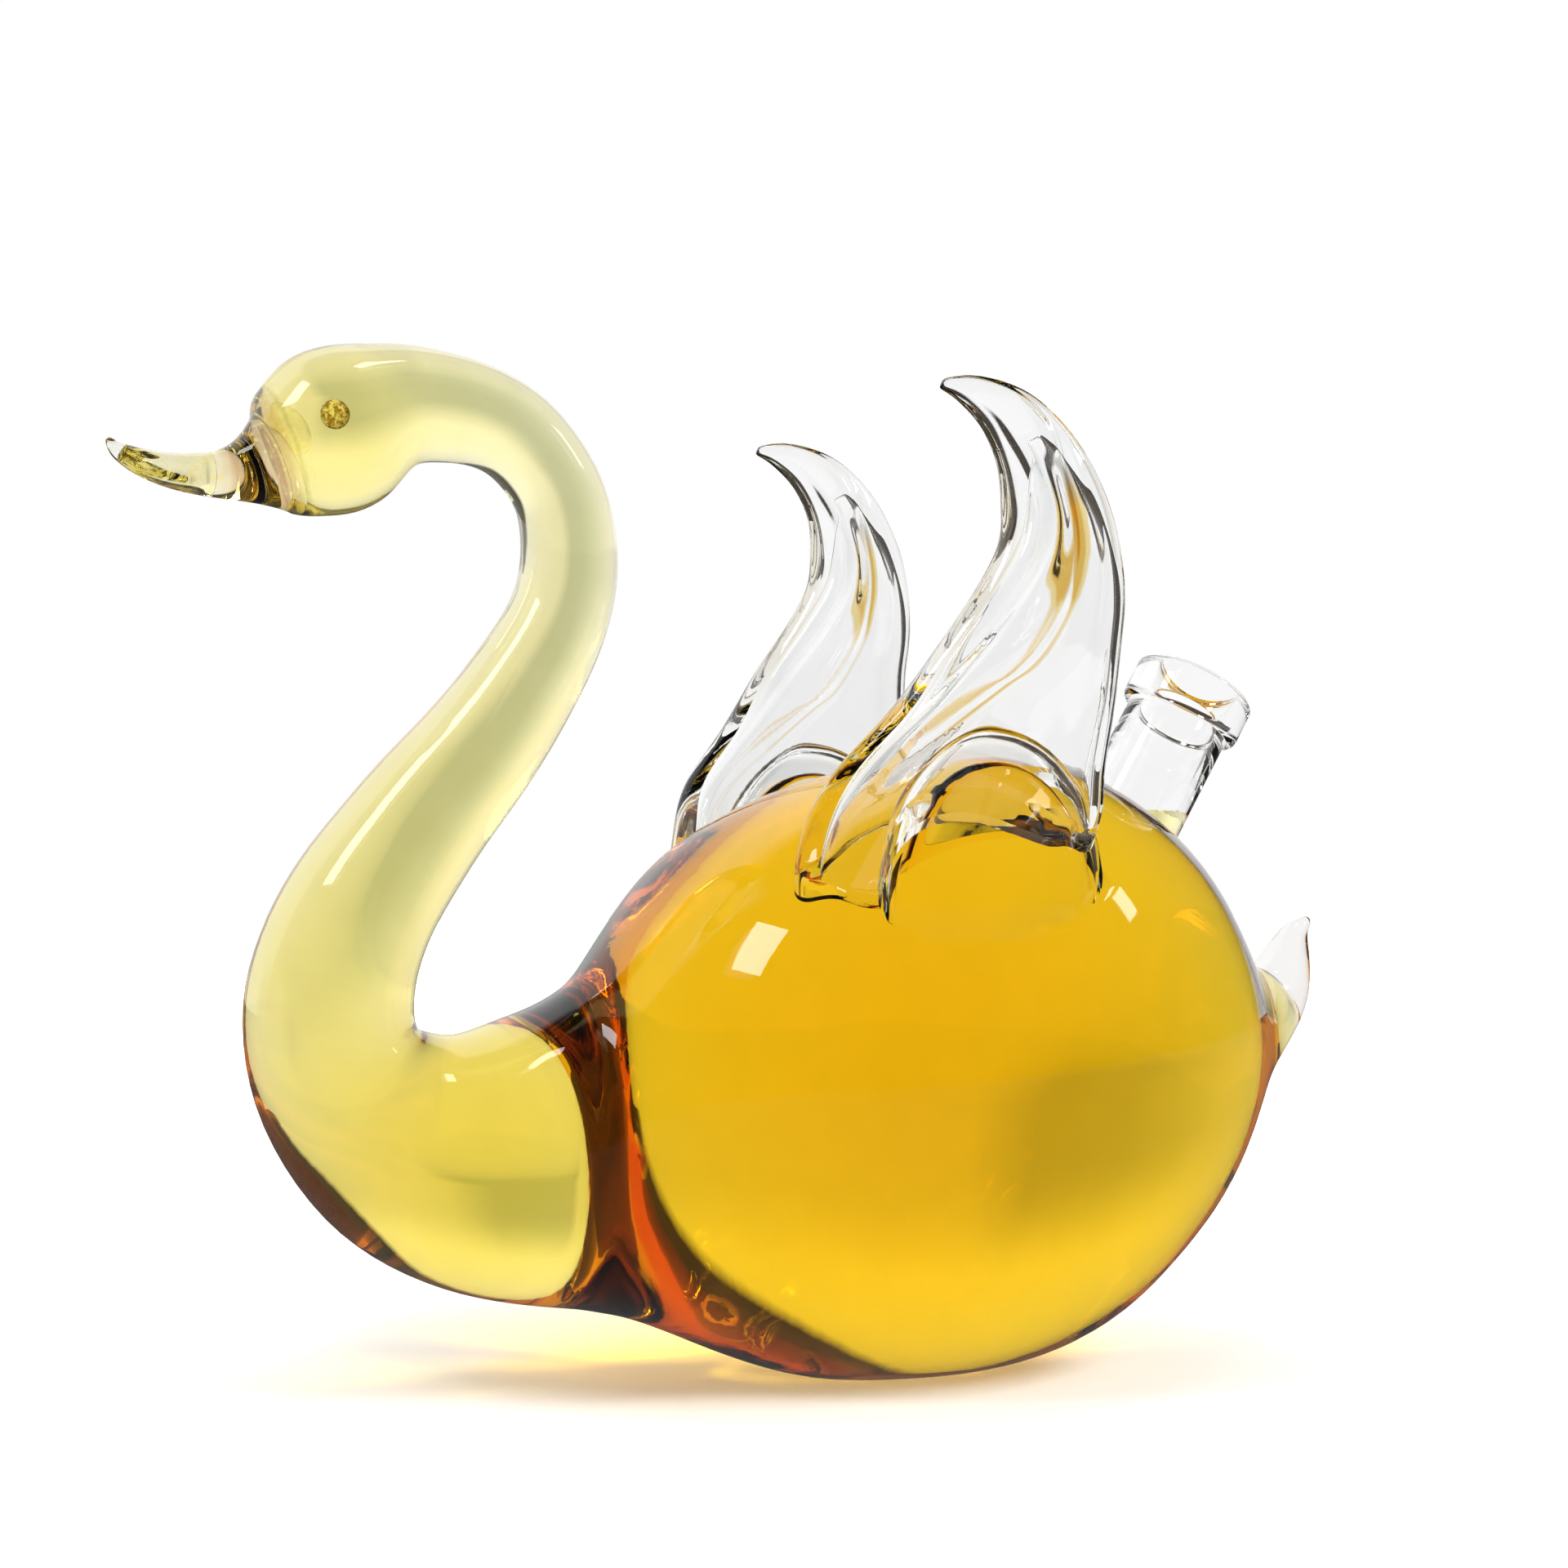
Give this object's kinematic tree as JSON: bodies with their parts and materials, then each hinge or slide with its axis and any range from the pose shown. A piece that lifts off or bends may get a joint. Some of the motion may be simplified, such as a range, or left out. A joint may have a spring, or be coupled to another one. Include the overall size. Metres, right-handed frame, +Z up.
{
  "type": "wine decanter",
  "caption": "Hand-blown glass decanter shaped as a swan, with upswept hollow wings and a leaning filler neck with a rolled lip, filled with amber wine.",
  "frame": {"origin": "middle of the flat foot, on the plane that the decanter stands on", "axes": "+X from the beak towards the tail, +Y across the body to the right wing, +Z up; XZ is the plane of symmetry"},
  "size_m": [0.2615, 0.1232, 0.2047],
  "materials": {
    "clear_glass": "polished",
    "amber_glass": "polished",
    "wine": "clear liquid"
  },
  "bodies": {
    "root": {"body_bulb": "clear_glass", "neck_tube": "clear_glass", "head_bulb": "clear_glass", "beak": "clear_glass", "wing_left": "clear_glass", "wing_right": "clear_glass", "filler_neck": "clear_glass", "mouth_ring": "clear_glass", "tail": "clear_glass", "eye_left": "amber_glass", "eye_right": "amber_glass", "wine_fill": "wine"}
  },
  "joints": []
}
